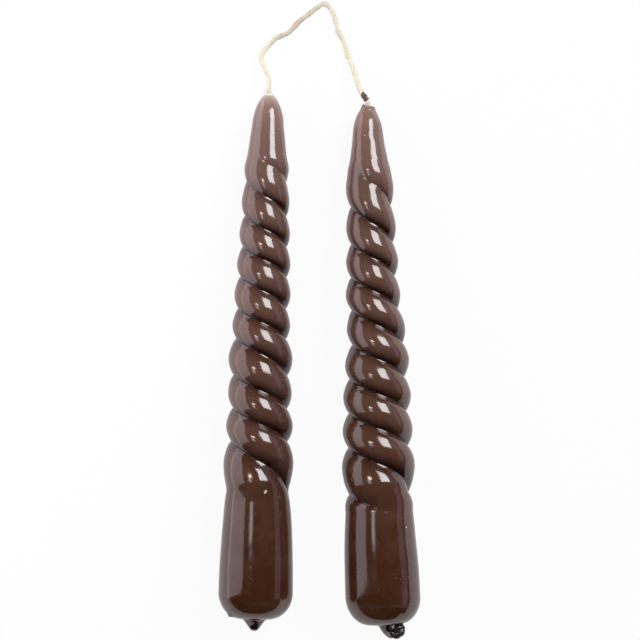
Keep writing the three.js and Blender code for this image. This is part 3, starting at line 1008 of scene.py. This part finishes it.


# The lacquer is darker at the bases and paler towards the tips, partly its own tone and partly painted light,
# and painted shade darkens its creases
lacquerLook = {
    # Dark at the bases and paler towards the tips: partly the lacquer's own tone, partly painted light and
    # sheen from the lamps beyond the tips
    "alongPair": [
        (-0.085, (0.052, 0.015, 0.005)), (-0.055, (0.061, 0.02, 0.008)), (-0.03, (0.089, 0.036, 0.023)),
        (0.0, (0.103, 0.047, 0.033)), (0.025, (0.118, 0.056, 0.041)), (0.06, (0.138, 0.073, 0.057)),
        (0.08, (0.2, 0.115, 0.095)), (0.0885, (0.27, 0.165, 0.14)), (0.093, (0.55, 0.44, 0.41)),
    ],
    "shadeInCreases": (0.016, 0.003, 0.001), "fullCreaseShade": 0.75, "ior": 1.75, "bump": 0.00005,
    "bareWax": (0.75, 0.68, 0.62), "cloud": (0.3, 0.2, 0.17), "cloudiness": 0.06, "dustAndGlints": 0.5, "gloss": 0.1,
    "tideLines": [(-0.0803, 0.0011)], "tideShare": 0.022, "tideWear": 0.1, "wornDuller": 0.3,
    "flecks": [
        ((-0.0181, -0.0424), 0.0009), ((0.0292, -0.0545), 0.00033), ((0.0152, 0.0781), 0.00033),
    ],
}


# A colour for each place along the pair, from the lacquer's table
def colorAlongPair(tree, stops):
    low, high = stops[0][0], stops[-1][0]
    ramp = addNode(tree, "ValToRGB")
    put(tree, ramp.inputs[0], ranged(tree, alongAxis(tree, objectPlace(tree), "Y"), low, high))
    marks = ramp.color_ramp.elements
    for at, color in stops[1:-1]:
        marks.new((at - low) / (high - low))
    for mark, (at, color) in zip(marks, stops):
        mark.color = (*color, 1)
    return ramp.outputs[0]


def makeLacquer():
    look = lacquerLook
    material, tree = newMaterial("brownLacquer")
    bareWax = (*look["bareWax"], 1)
    # Painted shade: the crease attribute darkens the lacquer towards its crease shade colour
    sunkAndShaded = addNode(tree, "Attribute")
    sunkAndShaded.attribute_name = "crease"
    creaseShade = ranged(tree, sunkAndShaded.outputs["Fac"], 0.0, look["fullCreaseShade"])
    color = mixed(tree, creaseShade, colorAlongPair(tree, look["alongPair"]), (*look["shadeInCreases"], 1))
    worn = 0.0
    for at, width in look["tideLines"]:
        line = addGroup(tree, tideLine, {"At Y": at, "Width": width}).outputs[0]
        color = mixed(tree, times(tree, line, look["tideShare"]), color, bareWax)
        worn = maths(tree, "MAXIMUM", worn, times(tree, line, look["tideWear"]))
    for (x, y), reach in look["flecks"]:
        chip = addGroup(tree, fleck, {"At X": x, "At Y": y, "Reach": reach}).outputs[0]
        color = mixed(tree, chip, color, bareWax)
        worn = maths(tree, "MAXIMUM", worn, chip)
    shader, skin = dress(tree, dippedWax, look, waxValues(look, color))
    rougher = maths(tree, "MULTIPLY_ADD", worn, look["wornDuller"], skin.outputs["Roughness"])
    put(tree, shader.inputs["Roughness"], rougher)
    return material


# Bare, dark and film wax are the same dipped wax with other colours and gloss
otherWax = {
    "paleWax": {
        "color": (0.74, 0.68, 0.64), "cloud": (0.85, 0.83, 0.82), "cloudiness": 0.8, "dustAndGlints": 0.2,
        "gloss": 0.35, "ior": 1.45, "bump": 0.0003,
    },
    # Dark wax also colours the painted shade on the right tail's cone
    "darkWax": {
        "color": (0.013, 0.005, 0.005), "cloud": (0.12, 0.07, 0.06), "cloudiness": 0.15, "dustAndGlints": 0.8,
        "gloss": 0.05, "ior": 1.8, "bump": 0.0006,
    },
    # The curl's pale specks are painted glints, where the lamps cast none on it
    "curlWaxPaintedGlints": {
        "color": (0.016, 0.006, 0.006), "cloud": (0.7, 0.62, 0.62), "cloudiness": 0.04, "dustAndGlints": 1.0,
        "gloss": 0.05, "ior": 1.8, "bump": 0.0006,
    },
    "filmWax": {
        "color": (0.11, 0.052, 0.036), "cloud": (0.14, 0.08, 0.06), "cloudiness": 0.5, "dustAndGlints": 0.2,
        "gloss": 0.16, "ior": 1.6, "bump": 0.00015,
    },
    "tailWax": {
        "color": (0.17, 0.13, 0.12), "cloud": (0.5, 0.45, 0.43), "cloudiness": 0.7, "dustAndGlints": 0.3,
        "gloss": 0.1, "ior": 1.7, "bump": 0.0002,
    },
}


def makeWax(name):
    material, tree = newMaterial(name)
    look = otherWax[name]
    dress(tree, dippedWax, look, waxValues(look, (*look["color"], 1)))
    return material


# Cream cotton, greyer on the stretch that was handled, with one reddish spot
cottonLook = {
    "color": (0.85, 0.8, 0.63), "groove": (0.66, 0.58, 0.45), "soiled": (0.58, 0.49, 0.41), "bump": 0.0001,
    "spot": (0.45, 0.3, 0.28), "spotAt": (-0.0067, 0.1173), "spotReach": 0.0016, "spotShare": 0.7,
    "handledFrom": (-0.017, -0.013), "handledTo": (0.001, 0.004), "handledAbove": (0.1, 0.108),
}


def makeCotton():
    look = cottonLook
    material, tree = newMaterial("wickCotton")
    acrossPair = alongAxis(tree, objectPlace(tree), "X")
    alongPair = alongAxis(tree, objectPlace(tree), "Y")
    leaves = ranged(tree, acrossPair, *look["handledTo"], 1.0, 0.0)
    handled = times(tree, ranged(tree, acrossPair, *look["handledFrom"]), leaves)
    handled = times(tree, handled, ranged(tree, alongPair, *look["handledAbove"]))
    x, y = look["spotAt"]
    spot = addGroup(tree, fleck, {"At X": x, "At Y": y, "Reach": look["spotReach"]}).outputs[0]
    spot = times(tree, spot, look["spotShare"])
    dress(tree, spunCotton, look, {
        "Color": mixed(tree, spot, (*look["color"], 1), (*look["spot"], 1)),
        "Groove Color": (*look["groove"], 1), "Soiled Color": (*look["soiled"], 1),
        "Plies": float(wick["plies"]), "Pitch": wick["pitch"], "Soiled": handled,
    })
    return material


materials = {name: makeWax(name) for name in otherWax}
materials["lacquer"] = makeLacquer()
materials["cotton"] = makeCotton()
wornBy = {
    "lacquer": ["leftCoat", "rightCoat", "leftTailCone"],
    "paleWax": ["leftCore", "rightCore", "tipCrumbs", "rightTailCrumb"],
    "darkWax": ["leftTailEnd", "rightTailPaintedShade"],
    "curlWaxPaintedGlints": ["rightTailCurl"],
    "filmWax": ["wickSleeve", "mouthWax", "rimSpike"],
    "tailWax": ["rightTailCone"],
    "cotton": ["wickCord", "strayFibre"],
}
for name, pieces in wornBy.items():
    for piece in pieces:
        slots = bpy.data.objects[piece].data.materials
        slots.clear()
        slots.append(materials[name])
for node in ("left_core_wick", "right_core_wick"):
    for slot in bpy.data.objects[node].material_slots:
        slot.material = materials["cotton"]
print("materials are on:", len(materials))
